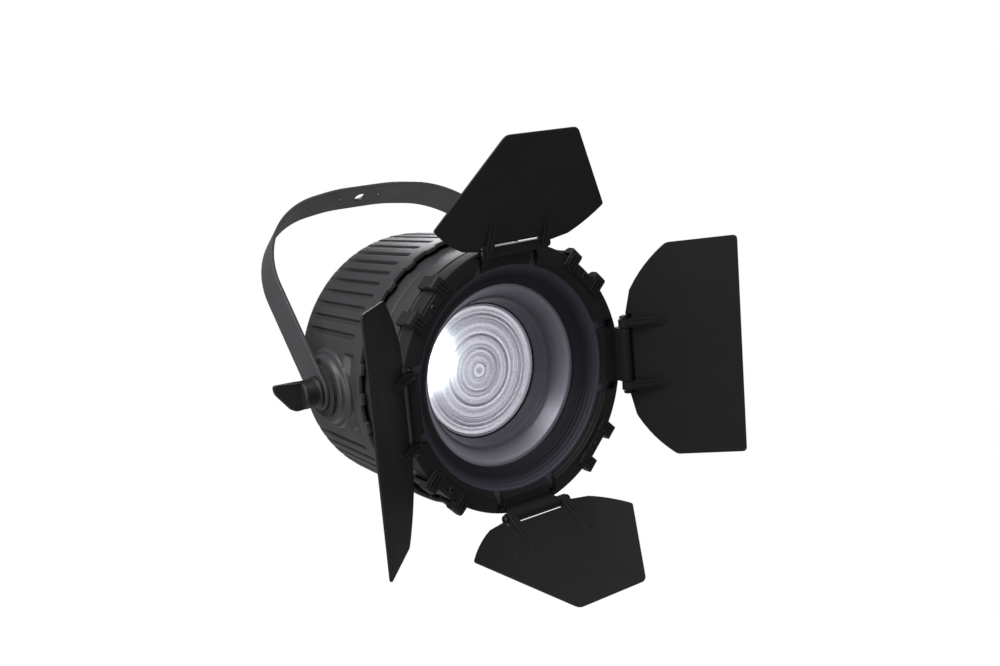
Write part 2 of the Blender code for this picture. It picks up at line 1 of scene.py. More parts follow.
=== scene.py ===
"""The looks of a theatre fresnel spotlight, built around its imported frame.

Pieces are drawn in lamp millimetres: the light leaves along -Y, y = 0 is the front face of the door
ring, and the Y axis is the optical axis. Each piece's object stands at the middle of that face.
"""
import json
import math

import bmesh
import bpy
from mathutils import Matrix, Vector


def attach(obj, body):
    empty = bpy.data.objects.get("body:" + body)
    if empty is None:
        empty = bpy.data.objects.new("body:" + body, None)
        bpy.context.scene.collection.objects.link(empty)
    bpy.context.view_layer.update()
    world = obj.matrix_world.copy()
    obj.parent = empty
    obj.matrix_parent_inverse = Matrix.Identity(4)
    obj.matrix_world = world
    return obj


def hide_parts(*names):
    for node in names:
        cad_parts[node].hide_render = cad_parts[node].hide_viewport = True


bl_info = {
    "name": "Fresnel Spotlight",
    "version": (1, 0, 0),
    "blender": (4, 5, 0),
    "location": "View3D > Sidebar > Spotlight",
    "description": "Builds a theatre fresnel spotlight with its barn door and yoke",
    "category": "Add Mesh",
}

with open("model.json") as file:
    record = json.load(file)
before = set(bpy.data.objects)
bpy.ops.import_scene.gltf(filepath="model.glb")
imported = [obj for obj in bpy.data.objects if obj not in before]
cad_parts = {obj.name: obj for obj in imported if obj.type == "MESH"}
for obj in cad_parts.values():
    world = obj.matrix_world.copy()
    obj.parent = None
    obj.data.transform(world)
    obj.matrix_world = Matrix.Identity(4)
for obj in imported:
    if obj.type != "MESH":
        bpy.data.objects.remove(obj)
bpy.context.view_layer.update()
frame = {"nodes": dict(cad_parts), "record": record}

MM = 0.001
JOINTS = {joint["name"]: joint for joint in frame["record"]["behaviour"]["joints"]}
SLOTS = {row["node"]: row["material_slot"] for row in frame["record"]["subparts"]}
FACE = Vector(JOINTS["door_turn"]["pos_m"])  # middle of the door ring's front face
PIVOT_DEPTH = (JOINTS["head_tilt"]["pos_m"][1] - FACE.y) / MM
HANG_UP = Vector(frame["record"]["mounts"][0]["axis"])  # square to the yoke's top, off the lamp
YOKE_LEAN = math.atan2(HANG_UP.y, HANG_UP.z)
HINGE_FORWARD = (FACE.y - JOINTS["leaf_top_fold"]["pos_m"][1]) / MM
HINGE_RADIUS = (JOINTS["leaf_top_fold"]["pos_m"][2] - FACE.z) / MM
RING_RADIUS = 120
ARM_CENTRE = 29.6  # a leaf's two arms, from its middle
ARM_WIDTH = 7.6
SLOT_RADIUS = 122  # where the slots' widths are measured
PAD_BORE = 9.7  # radius of the bore in a pivot pad
LOCK_FACE = 134.3  # outer face of the strap, with play
SOCKETS = {  # distance across, and contacts
    "power_inlet": (-46, 3),
    "power_outlet": (-14, 3),
    "data_inlet": (18, 5),
    "data_outlet": (48, 5),
}
SOCKET_HEIGHT = -68
BUTTONS = (20, 32, 44, 56)
BUTTON_HEIGHT = 66
FUSE = (74, -40)
FINE = 192  # sides of a large turned piece
# each leaf's clock angle; its half width at the tip, reach and knee as parts of the ring's radius; and
# its plate's offset from the hinge
DOOR_SIDES = {
    "top": (0, 0.309, 0.913, 0.251, 0.0),
    "right": (90, 0.856, 0.896, 0.356, -4.4),
    "bottom": (180, 0.309, 0.913, 0.251, 0.0),
    "left": (270, 0.856, 0.896, 0.356, -4.4),
}
CLIP_CLOCKS = {"upper_right": 46, "lower_right": 134, "lower_left": 226, "upper_left": 314}
VIEW_SIDE, VIEW_RISE, VIEW_ROLL = -35.85, 11.748, -4.997  # the camera's place, in degrees
VIEW_DISTANCE = 1.0788  # from the point it aims at, in metres
FINISHES = {}


# ---- settings

def hex_colour(text):
    """Turn an sRGB hex colour into linear RGBA."""
    channels = [int(text[i:i + 2], 16) / 255 for i in (1, 3, 5)]
    return [c / 12.92 if c <= 0.04045 else ((c + 0.055) / 1.055) ** 2.4 for c in channels] + [1.0]


def length(name, description, default):
    return bpy.props.FloatProperty(name=name, description=description, default=default * MM, min=0.0,
                                   unit="LENGTH")


def colour(name, description, default):
    return bpy.props.FloatVectorProperty(name=name, description=description, size=3, min=0.0, max=1.0,
                                         subtype="COLOR", default=hex_colour(default)[:3])


class BodySettings(bpy.types.PropertyGroup):
    slot_count: bpy.props.IntProperty(name="Slots", description="Cooling slots round the housing",
                                      default=60, min=12, max=96)
    slot_depth: length("Slot depth", "How deep a cooling slot is", 3.2)
    slot_width: length("Slot width", "Clear width of a cooling slot", 4.6)
    lens_step: length("Lens step", "Width of one ring of the lens", 4.9)
    coat: colour("Cast coat", "Powder coat on the cast body", "#2e2e30")
    # the bezel's outer colour: its grey coat with painted light in it, as the lit outer cone
    spun: colour("Bezel", "Grey coat inside the nose", "#a19eab")


class DoorSettings(bpy.types.PropertyGroup):
    thickness: length("Leaf thickness", "Sheet thickness of a leaf", 1.8)
    corner: length("Corner radius", "Rounding of a leaf's corners", 2.2)
    paint: colour("Door paint", "Matte paint on the ring, clips and leaves", "#1c1c1d")


class YokeSettings(bpy.types.PropertyGroup):
    strap: length("Strap", "Thickness of the yoke's strap", 3.0)
    width: length("Width", "Width of the yoke's strap", 34.0)
    paint: colour("Yoke paint", "Satin paint on the yoke", "#37373a")


class StageSettings(bpy.types.PropertyGroup):
    floor_drop: length("Floor", "How far the floor is below the bolt hole", 1000.0)
    key_power: bpy.props.FloatProperty(name="Key light", description="Power of the main soft light",
                                       default=26.0, min=0.0, unit="POWER")


# ---- mesh tools

def rounded(points, radius, steps=4):
    """A closed outline whose corners are replaced with curves about as long as the radius."""
    outline = []
    count = len(points)
    for i in range(count):
        corner = Vector(points[i])
        before, after = Vector(points[i - 1]) - corner, Vector(points[(i + 1) % count]) - corner
        size = radius[i] if isinstance(radius, (list, tuple)) else radius
        reach = min(size, 0.45 * before.length, 0.45 * after.length)
        if reach < 1e-3:
            outline.append(tuple(corner))
            continue
        start, end = corner + before.normalized() * reach, corner + after.normalized() * reach
        for step in range(steps + 1):
            t = step / steps
            outline.append(tuple(start * (1 - t) ** 2 + corner * 2 * t * (1 - t) + end * t ** 2))
    return outline


def arc(centre, radius, start, end, steps):
    """Points on an arc in a plane; angles in degrees."""
    angles = [math.radians(start + (end - start) * i / steps) for i in range(steps + 1)]
    return [(centre[0] + radius * math.cos(a), centre[1] + radius * math.sin(a)) for a in angles]


def turned(outline, sides, along="Y", centre=(0, 0)):
    """Revolve a closed outline of (radius, distance) points about an axis."""
    bm = bmesh.new()
    rings = []
    for side in range(sides):
        angle = 2 * math.pi * side / sides
        cos, sin = math.cos(angle), math.sin(angle)
        ring = []
        for radius, far in outline:
            across, up = radius * cos, radius * sin
            ring.append(bm.verts.new((centre[0] + across, far, centre[1] + up) if along == "Y" else
                                     (far, centre[0] + across, centre[1] + up)))
        rings.append(ring)
    count = len(outline)
    for side in range(sides):
        here, after = rings[side], rings[(side + 1) % sides]
        for i in range(count):
            j = (i + 1) % count
            if outline[i][0] > 1e-6 or outline[j][0] > 1e-6:
                bm.faces.new((here[i], here[j], after[j], after[i]))
    bmesh.ops.remove_doubles(bm, verts=bm.verts, dist=1e-4)
    bmesh.ops.dissolve_degenerate(bm, edges=bm.edges, dist=1e-4)
    return bm


def prism(outline, low, high, along="Y"):
    """Extrude a flat outline between two distances along an axis."""
    places = {"X": lambda a, b, c: (c, a, b), "Y": lambda a, b, c: (a, c, b)}
    bm = bmesh.new()
    face = bm.faces.new([bm.verts.new(places[along](a, b, low)) for a, b in outline])
    swept = bmesh.ops.extrude_face_region(bm, geom=[face])
    far = [v for v in swept["geom"] if isinstance(v, bmesh.types.BMVert)]
    bmesh.ops.translate(bm, verts=far, vec=Vector(places[along](0, 0, high - low)))
    return bm


def block(low, high, radius=0.0):
    """A box, with its four edges along Y rounded."""
    corners = [(low[0], low[2]), (high[0], low[2]), (high[0], high[2]), (low[0], high[2])]
    return prism(rounded(corners, radius, 5) if radius else corners, low[1], high[1])


def stadium(centre, half_length, half_width, steps=8):
    """A slot's outline, round at both ends, lying along the first axis."""
    reach = half_length - half_width
    return (arc((centre[0] + reach, centre[1]), half_width, -90, 90, steps)
            + arc((centre[0] - reach, centre[1]), half_width, 90, 270, steps))


def join(*parts):
    """Put several bmeshes into the first one."""
    first = parts[0]
    for part in parts[1:]:
        mesh = bpy.data.meshes.new("scratch")
        part.to_mesh(mesh)
        part.free()
        first.from_mesh(mesh)
        bpy.data.meshes.remove(mesh)
    return first


def moved(bm, matrix):
    bmesh.ops.transform(bm, matrix=matrix, verts=bm.verts)
    return bm


def link_mesh(name, bm):
    """Make an object from a bmesh in lamp millimetres."""
    bmesh.ops.recalc_face_normals(bm, faces=bm.faces)
    bmesh.ops.scale(bm, vec=(MM, MM, MM), verts=bm.verts)
    mesh = bpy.data.meshes.new(name)
    bm.to_mesh(mesh)
    bm.free()
    piece = bpy.data.objects.new(name, mesh)
    bpy.context.scene.collection.objects.link(piece)
    piece.location = FACE
    return piece


def combine(piece, bm, operation="DIFFERENCE"):
    """Cut a shape from a piece, or join it on, and keep the result as the piece's mesh."""
    helper = link_mesh("helper", bm)
    modifier = piece.modifiers.new("combine", "BOOLEAN")
    modifier.operation = operation
    modifier.solver = "EXACT"
    modifier.object = helper
    bpy.context.view_layer.update()
    mesh = bpy.data.meshes.new_from_object(piece.evaluated_get(bpy.context.evaluated_depsgraph_get()))
    piece.modifiers.clear()
    old = piece.data
    piece.data = mesh
    bpy.data.meshes.remove(old)
    bpy.data.objects.remove(helper, do_unlink=True)


def finish_piece(piece, body, slot, replaced=(), bevel=0.0, sharp=30):
    """Shade, coat and mount one piece; bevel is in millimetres."""
    piece.data.shade_smooth()
    if bevel:
        modifier = piece.modifiers.new("edges", "BEVEL")
        modifier.width = bevel * MM
        modifier.segments = 3
        modifier.angle_limit = math.radians(sharp)
        modifier.harden_normals = True
    else:
        piece.data.set_sharp_from_angle(angle=math.radians(sharp))
    piece.data.materials.clear()
    piece.data.materials.append(FINISHES[slot])
    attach(piece, body)
    if replaced:
        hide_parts(*replaced)
    return piece


def add_piece(name, bm, body, slot, replaced=(), bevel=0.0, sharp=30):
    return finish_piece(link_mesh(name, bm), body, slot, replaced, bevel, sharp)


def clock_turn(clock):
    """Turn about the optical axis, clockwise in degrees as seen from in front of the lamp."""
    return Matrix.Rotation(math.radians(clock), 4, "Y")


def add_screw(name, place, direction, body, radius=3.8, slot="plated_steel", replaced=()):
    """A pan-head screw with a cross recess; direction is the way its head faces."""
    dome = 0.42 * radius
    crown = [(radius * math.cos(a), 1.0 + dome * math.sin(a)) for a in map(math.radians, (18, 36, 54, 72))]
    head = turned([(0, 0), (radius, 0), (radius, 1.0)] + crown + [(0, 1.0 + dome)], 32)
    turn = Vector((0, 1, 0)).rotation_difference(Vector(direction)).to_matrix().to_4x4()
    matrix = Matrix.Translation(Vector(place)) @ turn
    piece = link_mesh(name, moved(head, matrix))
    arm, slit, deep, top = 0.62 * radius, 0.42, 0.5, 2 + radius
    for across, up in ((arm, slit), (slit, arm)):
        combine(piece, moved(block((-across, deep, -up), (across, top, up)), matrix))
    return finish_piece(piece, body, slot, replaced)


# ---- finishes

def feed(tree, node, inputs):
    """Give each input of a node its value, or the socket that feeds it."""
    for key, value in inputs.items():
        if isinstance(value, bpy.types.NodeSocket):
            tree.links.new(value, node.inputs[key])
        else:
            node.inputs[key].default_value = value


def add_node(tree, kind, inputs=None, **settings):
    """Add a node with its settings, values and links."""
    node = tree.nodes.new(kind)
    for name, value in settings.items():
        setattr(node, name, value)
    feed(tree, node, inputs or {})
    return node


def shade(colour_value, factor, lift=0.0):
    """The same hue, darker or lighter."""
    return [min(1.0, c * factor + lift) for c in colour_value[:3]] + [1.0]


def new_finish(name, **values):
    """A Principled material; returns the material, its tree, its shader and its own coordinates."""
    finish = bpy.data.materials.new(name)
    finish.use_nodes = True
    tree = finish.node_tree
    shader = tree.nodes["Principled BSDF"]
    for key, value in values.items():
        shader.inputs[key.replace("_", " ")].default_value = value
    place = add_node(tree, "ShaderNodeTexCoord").outputs["Object"]
    return finish, tree, shader, place


def coated(name, colour_value, roughness, grain, relief, scuffs=0.12, specular=0.5, metallic=0.0):
    """Paint or moulding: cloudy tone, a fine grain in the surface, and faint scuffs that shine.

    grain is the size of one grain in millimetres, relief its height.
    """
    finish, tree, shader, place = new_finish(name, Metallic=metallic, Specular_IOR_Level=specular)
    cloud = add_node(tree, "ShaderNodeTexNoise", {"Vector": place, "Scale": 1 / (45 * MM), "Detail": 4.0})
    rub = add_node(tree, "ShaderNodeTexNoise", {
        "Vector": place, "Scale": 1 / (9 * MM), "Detail": 9.0, "Roughness": 0.72, "Distortion": 0.8})
    worn = add_node(tree, "ShaderNodeMapRange", {
        "Value": rub.outputs["Fac"], "From Min": 0.56, "From Max": 0.78, "To Min": 0.0, "To Max": scuffs})
    tone = add_node(tree, "ShaderNodeMix", {
        0: cloud.outputs["Fac"], 6: shade(colour_value, 0.8), 7: shade(colour_value, 1.22)}, data_type="RGBA")
    wear = add_node(tree, "ShaderNodeMix", {
        0: worn.outputs["Result"], 6: tone.outputs[2], 7: shade(colour_value, 2.4, 0.01)}, data_type="RGBA")
    shine = add_node(tree, "ShaderNodeMapRange", {
        "Value": cloud.outputs["Fac"], "From Min": 0.3, "From Max": 0.7, "To Min": roughness + 0.05,
        "To Max": roughness - 0.05})
    bumps = add_node(tree, "ShaderNodeTexNoise", {"Vector": place, "Scale": 1 / (grain * MM), "Detail": 2.0})
    bump = add_node(tree, "ShaderNodeBump", {
        "Height": bumps.outputs["Fac"], "Strength": 0.6, "Distance": relief * MM})
    feed(tree, shader, {
        "Base Color": wear.outputs[2], "Roughness": shine.outputs["Result"],
        "Normal": bump.outputs["Normal"]})
    return finish


def brushed(name, colour_value, roughness, stretch, line=0.35):
    """Bare metal with tool lines that run across the stretch.

    line is their spacing in millimetres: real ones are finer, and these are drawn coarse enough to show.
    """
    finish, tree, shader, place = new_finish(name, Metallic=1.0)
    scaled = add_node(tree, "ShaderNodeVectorMath", {0: place, 1: stretch}, operation="MULTIPLY")
    lines = add_node(tree, "ShaderNodeTexNoise", {
        "Vector": scaled.outputs["Vector"], "Scale": 1 / (line * MM), "Detail": 3.0})
    tone = add_node(tree, "ShaderNodeMix", {
        0: lines.outputs["Fac"], 6: shade(colour_value, 0.82), 7: colour_value}, data_type="RGBA")
    shine = add_node(tree, "ShaderNodeMapRange", {
        "Value": lines.outputs["Fac"], "To Min": roughness - 0.08, "To Max": roughness + 0.1})
    feed(tree, shader, {"Base Color": tone.outputs[2], "Roughness": shine.outputs["Result"]})
    return finish


def radius_from_axis(tree, place):
    """Distance from the optical axis, in metres, for pieces turned about it."""
    parts = add_node(tree, "ShaderNodeSeparateXYZ", {"Vector": place})
    flat = add_node(tree, "ShaderNodeCombineXYZ", {"X": parts.outputs["X"], "Z": parts.outputs["Z"]})
    return add_node(tree, "ShaderNodeVectorMath", {0: flat.outputs["Vector"]},
                    operation="LENGTH").outputs["Value"]


def spun_coat(name, inner, outer, radii, **inputs):
    """Spun metal with the fine circles the tool leaves, and painted light and shade: its tone goes from a
    dark inner colour to a lit outer colour between two radii.
    """
    finish, tree, shader, place = new_finish(name, **inputs)
    radius = radius_from_axis(tree, place)
    circle = add_node(tree, "ShaderNodeCombineXYZ", {"X": radius})
    lines = add_node(tree, "ShaderNodeTexNoise", {
        "Vector": circle.outputs["Vector"], "Scale": 1 / (1.4 * MM), "Detail": 4.0})
    # painted light and shade: lighter towards the outer radius, darker towards the inner one
    painted_light_outward = add_node(tree, "ShaderNodeMapRange", {
        "Value": radius, "From Min": radii[0] * MM, "From Max": radii[1] * MM, "To Max": 0.75})
    circles_and_painted_light = add_node(tree, "ShaderNodeMath", {
        0: lines.outputs["Fac"], 1: 0.3, 2: painted_light_outward.outputs["Result"]}, operation="MULTIPLY_ADD")
    tone = add_node(tree, "ShaderNodeMix", {0: circles_and_painted_light.outputs[0], 6: inner, 7: outer}, data_type="RGBA")
    bump = add_node(tree, "ShaderNodeBump", {
        "Height": lines.outputs["Fac"], "Strength": 0.35, "Distance": 0.15 * MM})
    feed(tree, shader, {"Base Color": tone.outputs[2], "Normal": bump.outputs["Normal"]})
    return finish


def pressed_glass():
    """Pressed borosilicate with clear rings in front; its glow is painted light, emission in rings and a
    stipple in place of the emitter's light through the glass, with a painted hot spot.
    """
    finish, tree, shader, place = new_finish(
        "pressed_borosilicate_glass", Roughness=0.3, IOR=1.47, Transmission_Weight=0.65,
        Base_Color=hex_colour("#c9c8cf"), Emission_Color=hex_colour("#e6e4ee"))
    radius = radius_from_axis(tree, place)
    circle = add_node(tree, "ShaderNodeCombineXYZ", {"X": radius})
    rings = add_node(tree, "ShaderNodeTexNoise", {
        "Vector": circle.outputs["Vector"], "Scale": 1 / (3.1 * MM), "Detail": 1.5})
    stipple = add_node(tree, "ShaderNodeTexNoise", {
        "Vector": place, "Scale": 1 / (1.6 * MM), "Detail": 3.0, "Roughness": 0.7})
    mixed = add_node(tree, "ShaderNodeMath", {
        0: stipple.outputs["Fac"], 1: 0.45, 2: rings.outputs["Fac"]}, operation="MULTIPLY_ADD")
    # painted glow: emission in the rings and stipple, standing in for the emitter's light scattered through
    # the glass
    painted_ring_glow = add_node(tree, "ShaderNodeMapRange", {
        "Value": mixed.outputs[0], "From Min": 0.64, "From Max": 0.82, "To Min": 0.0, "To Max": 0.42})
    # painted hot spot: a patch of emission to the left of the lens's middle and a little above it, in place
    # of the emitter's bright image
    reach = add_node(tree, "ShaderNodeVectorMath", {
        0: place, 1: [-58 * MM, 58 * MM, 22 * MM]}, operation="DISTANCE")
    painted_hot_spot = add_node(tree, "ShaderNodeMapRange", {
        "Value": reach.outputs["Value"], "From Min": 44 * MM, "From Max": 14 * MM, "To Max": 2.6},
        interpolation_type="SMOOTHERSTEP")
    painted_lens_glow = add_node(tree, "ShaderNodeMath", {
        0: painted_hot_spot.outputs["Result"], 1: rings.outputs["Fac"], 2: painted_ring_glow.outputs["Result"]},
        operation="MULTIPLY_ADD")
    feed(tree, shader, {"Emission Strength": painted_lens_glow.outputs[0]})
    return finish


def lit_emitter():
    """Domed LED array: bright, a little cold, with its small dies showing as a grid."""
    finish, tree, shader, place = new_finish(
        "led_dome_over_dies", Roughness=0.2, Emission_Color=hex_colour("#f3efff"))
    dies = add_node(tree, "ShaderNodeTexVoronoi", {
        "Vector": place, "Scale": 1 / (3 * MM)}, feature="DISTANCE_TO_EDGE")
    power = add_node(tree, "ShaderNodeMapRange", {
        "Value": dies.outputs["Distance"], "From Max": 0.4, "To Min": 600.0, "To Max": 1100.0})
    feed(tree, shader, {"Emission Strength": power.outputs["Result"]})
    return finish


def display_glass():
    """Dark tinted acrylic over a small panel display."""
    finish, tree, shader, place = new_finish("tinted_acrylic", Roughness=0.08, IOR=1.49, Coat_Weight=0.6)
    smudge = add_node(tree, "ShaderNodeTexNoise", {"Vector": place, "Scale": 1 / (14 * MM), "Detail": 5.0})
    tone = add_node(tree, "ShaderNodeMix", {
        0: smudge.outputs["Fac"], 6: hex_colour("#0a1017"), 7: hex_colour("#18222b")}, data_type="RGBA")
    feed(tree, shader, {"Base Color": tone.outputs[2]})
    return finish


def circuit_mask():
    """Green solder mask with the faint raised lines of copper tracks under it."""
    finish, tree, shader, place = new_finish("solder_mask_on_copper", Roughness=0.35)
    tracks = add_node(tree, "ShaderNodeTexBrick", {
        "Vector": place, "Scale": 1 / (8 * MM), "Mortar Size": 0.05, "Color1": hex_colour("#1d4a31"),
        "Color2": hex_colour("#235a3a"), "Mortar": hex_colour("#3c7a50")})
    feed(tree, shader, {"Base Color": tracks.outputs["Color"]})
    return finish


def make_finishes(scene):
    """Every finish, by the record's slot name."""
    body, door, yoke = scene.spotlight_body, scene.spotlight_door, scene.spotlight_yoke
    # powder coat on cast aluminium: fine orange-peel grain, soft sheen
    FINISHES["cast_body"] = coated(
        "powder_coat_on_cast_aluminium", [*body.coat, 1.0], 0.46, 1.1, 0.10, specular=0.42)
    # heat-proof matte paint on sheet steel: nearly no sheen, a dry grain
    FINISHES["door_paint"] = coated(
        "matte_stove_enamel_on_steel", [*door.paint, 1.0], 0.62, 0.9, 0.06, specular=0.22)
    # satin powder coat on steel strap: smoother and lighter than the door
    FINISHES["yoke_paint"] = coated(
        "satin_powder_coat_on_steel", [*yoke.paint, 1.0], 0.42, 1.0, 0.05, specular=0.45)
    # glass-filled nylon: moulded, with a spark-eroded grain, drawn coarser than its real 0.1 mm to show
    FINISHES["black_plastic"] = coated(
        "moulded_glass_filled_nylon", hex_colour("#161617"), 0.5, 0.8, 0.05, scuffs=0.08, specular=0.35)
    # pressed fibre: dry, dark and flat, with a felted grain
    FINISHES["fibre"] = coated("pressed_friction_fibre", hex_colour("#1a1a1b"), 0.85, 0.7, 0.12)
    # black anodised baffle: matte, with a cold cast, nearly black towards the lens; painted light makes it
    # lighter than the coat towards its outer radius, where the lens's light falls
    FINISHES["baffle"] = spun_coat(
        "black_anodised_aluminium", hex_colour("#060608"), hex_colour("#565663"), (91, 104), Roughness=0.6,
        Specular_IOR_Level=0.2)
    # black-oxide screws: dark bare steel that still glints
    FINISHES["black_oxide"] = brushed("black_oxide_steel", hex_colour("#3a3a3c"), 0.38, (0.3, 1, 0.3))
    # grey coat on spun aluminium: a soft metallic sheen, with fine circles; painted shade darkens it next to
    # the lens and painted light brightens the outer cone
    FINISHES["grey_reflector"] = spun_coat(
        "grey_coated_spun_aluminium", hex_colour("#29282d"), [*body.spun, 1.0], (68, 79), Metallic=0.25,
        Roughness=0.42)
    # mill finish: bright and cool; zinc plate: greyer, with a glint; brass: warm, freshly turned
    FINISHES["bare_aluminium"] = brushed("mill_finish_aluminium", hex_colour("#a5a8ab"), 0.36, (1, 0.05, 1))
    FINISHES["plated_steel"] = brushed("zinc_plated_steel", hex_colour("#9c9b98"), 0.32, (0.3, 1, 0.3))
    FINISHES["brass"] = brushed("turned_brass", hex_colour("#b8935a"), 0.3, (1, 0.2, 0.2))
    FINISHES["circuit_board"] = circuit_mask()
    FINISHES["clear_glass"] = pressed_glass()
    FINISHES["display"] = display_glass()
    FINISHES["led_light"] = lit_emitter()


# ---- body

def housing_rows():
    """(radius, distance, how far a slot may sink there) from the rim's inside round to the back."""
    front, rim, body, slots = 60.0, 125.2, 124.3, 73
    rows = [(118.9, front + 10.5, 0), (121.4, front + 10.5, 0), (121.4, front + 0.6, 0), (122.0, front, 0),
            (rim - 0.8, front, 0), (rim - 0.2, front + 0.3, 0), (rim, front + 1.0, 0), (rim, front + 7.4, 0)]
    rows += [(rim - 0.4, front + 8.2, 0), (124.4, 70.5, 0), (body, 72.0, 0)]
    for step in range(41):  # closer rows where the slots begin
        distance = slots + step * 2.5 if step > 8 else slots + step * 1.25 + (step * step) * 0.156
        rows.append((body - (distance - slots) * 3.8 / 87, distance, 1))
    rows = [row for row in rows if row[1] < 166]
    for radius, distance in arc((100, 168), 20, 0, 78, 12):
        rows.append((radius - 0.05, distance, 1))
    rows += [(103.9, 188.6, 0), (103.9, 186.9, 0), (98, 186.9, 0), (114, 176, 0), (114, 84.5, 0),
             (118.9, 84.5, 0)]
    return rows


def smooth(value):
    value = min(1.0, max(0.0, value))
    return value * value * (3 - 2 * value)


def build_housing(settings):
    """Cast shell with sunk cooling slots, a toothed rim and a trough in front of each pivot pad."""
    count = settings.slot_count
    deep, half = settings.slot_depth / MM, settings.slot_width / MM / 2
    period = 2 * math.pi / count
    step = period * SLOT_RADIUS / 2
    offsets = [-step, -5.2, -4.4, -half - 0.9, -half - 0.2, -half + 0.4, -half + 0.9, -0.7, 0.0]
    offsets += [-x for x in offsets[1:-1][::-1]]
    columns = [(i, x) for i in range(count) for x in offsets]
    rows = housing_rows()
    bm = bmesh.new()
    grid = []
    for index, offset in columns:
        angle = index * period + offset / SLOT_RADIUS
        from_side = abs(math.asin(math.sin(angle)))
        slotted = math.degrees(from_side) > 19
        start = 76.5 if index % 2 else 80.0
        column = []
        for radius, distance, sinks in rows:
            sunk = 0.0
            if sinks and slotted:
                lead = start + half - distance
                gap = math.hypot(offset, lead) if lead > 0 else abs(offset)
                fade = 1 - smooth((distance - 150) / 30)
                sunk = deep * fade * smooth((half + 0.3 - gap) / 1.3)
            if sinks and from_side * SLOT_RADIUS < 44:
                across = smooth((37 - from_side * SLOT_RADIUS) / 4)
                along = smooth((distance - 72.6) / 2.4) * smooth((91 - distance) / 3.2)
                sunk = max(sunk, 5.0 * across * along)
            tooth = 3.0 if distance < 61.2 and index % 2 == 0 and abs(offset) <= 4.5 else 0.0
            r = radius - sunk
            column.append(bm.verts.new((r * math.cos(angle), distance - tooth, r * math.sin(angle))))
        grid.append(column)
    for i in range(len(grid)):
        here, after = grid[i], grid[(i + 1) % len(grid)]
        for j in range(len(rows)):
            k = (j + 1) % len(rows)
            bm.faces.new((here[j], here[k], after[k], after[j]))
    housing = link_mesh("ribbed_housing", bm)
    bores = join(*[turned([(0, s * 100), (PAD_BORE, s * 100), (PAD_BORE, s * 140), (0, s * 140)], 48, "X",
                          (PIVOT_DEPTH, 0)) for s in (-1, 1)])
    combine(housing, bores)
    finish_piece(housing, "head", "cast_body", ("rear_housing",), sharp=38)
    for side, tag in ((-1, "left"), (1, "right")):
        pad = rounded([(PAD_BORE, 114.6), (38, 114.6), (36, 121.6), (31.5, 123.0), (29.6, 127.5),
                       (PAD_BORE, 127.5)], [0, 0, 3.5, 4.5, 2.4, 0.5], 8)
        add_piece("pivot_pad_" + tag, turned([(r, side * x) for r, x in pad], 96, "X", (PIVOT_DEPTH, 0)),
                  "head", "cast_body")


def build_barrel():
    """Smooth barrel between the rim and the door ring, with its groove and the seam of its sheet."""
    outline = rounded([(113.5, 6), (115.4, 6), (115.4, 15.8), (118, 15.8), (118, 19), (116.2, 19),
                       (116.2, 23), (118, 23), (118, 44.6), (117.5, 44.9), (117.5, 45.3), (118, 45.6),
                       (118, 84.2), (113.5, 84.2)], 0.45, 3)
    add_piece("front_barrel_shell", turned(outline, FINE), "head", "cast_body", ("front_barrel",))
    for clock, tag in ((294, "left"), (66, "right")):
        seam = prism(rounded([(-2.6, 117.4), (2.6, 117.4), (2.2, 118.5), (-2.2, 118.5)], 0.5, 3), 24.5, 60.5)
        add_piece("barrel_seam_" + tag, moved(seam, clock_turn(clock)), "head", "cast_body")


def build_nose():
    """Grooved baffle inside the door ring, and the spun bezel of two cones that leads to the lens."""
    cone = []
    grooves, outer, inner, front, back = 5, 101.0, 87.0, 6.4, 16.6
    for i in range(grooves):
        a, b = i / grooves, (i + 1) / grooves
        start = (outer + (inner - outer) * a, front + (back - front) * a)
        end = (outer + (inner - outer) * b, front + (back - front) * b)
        shelf = (end[0] + 0.55 * (start[0] - end[0]), start[1] + 0.1 * (end[1] - start[1]))
        cone += [start, shelf, (shelf[0] - 0.35, shelf[1] + 1.1), (end[0] + 0.3, end[1] - 0.2)]
    outline = [(113.1, 6.4)] + cone + [(82.5, 20), (82.5, 24.7), (85.5, 24.7), (85.5, 20.5), (101, 10.6),
                                       (113.1, 10.6)]
    add_piece("grooved_baffle", turned(rounded(outline, 0.3, 2), FINE), "head", "baffle",
              ("nose_baffle",), sharp=24)
    bezel = [(80.4, 25.0), (79.2, 25.0), (70.9, 37.4), (69.2, 38.6), (68.3, 39.2), (67.2, 42.0),
             (63.1, 53.8), (62.3, 56), (64.4, 56), (71.6, 40), (81.5, 27.6), (85.5, 27.6), (85.5, 25.1)]
    add_piece("spun_bezel", turned(rounded(bezel, 0.6, 4), FINE), "head", "grey_reflector",
              ("lens_bezel",), sharp=24)


def build_lens(settings):
    """Stepped lens: a small dome in the middle, then one sloping ring after another."""
    ring, crown, face, edge = settings.lens_step / MM, 57.2, 57.9, 63
    front = [(0.0, crown)] + [(ring * math.sin(a) * 1.4, crown + 1.1 * (1 - math.cos(a)))
                              for a in map(math.radians, (15, 30, 45))]
    radius = ring * 1.4 * math.sin(math.radians(45)) + 0.3
    while radius < edge:
        width = min(ring, edge + 0.8 - radius)
        rise = 0.75 + 0.55 * radius / edge
        front += [(radius, face + 0.4), (radius + 0.35, face - rise * 0.45),
                  (radius + 0.45 * width, face - rise * 0.32), (radius + 0.8 * width, face + 0.05)]
        radius += width
    outline = front + [(64, 58.4), (64, 62.5), (0, 62.5)]
    add_piece("stepped_lens", turned(outline, 144), "lens_carriage", "clear_glass", ("fresnel_lens",),
              sharp=22)
    retainer = rounded([(61.2, 56.4), (69.6, 56.4), (69.6, 58.0), (65.2, 58.0), (61.2, 57.4)], 0.3, 3)
    add_piece("lens_spring_ring", turned(retainer, 144), "lens_carriage", "black_plastic",
              ("lens_retainer",))


# ---- barn door

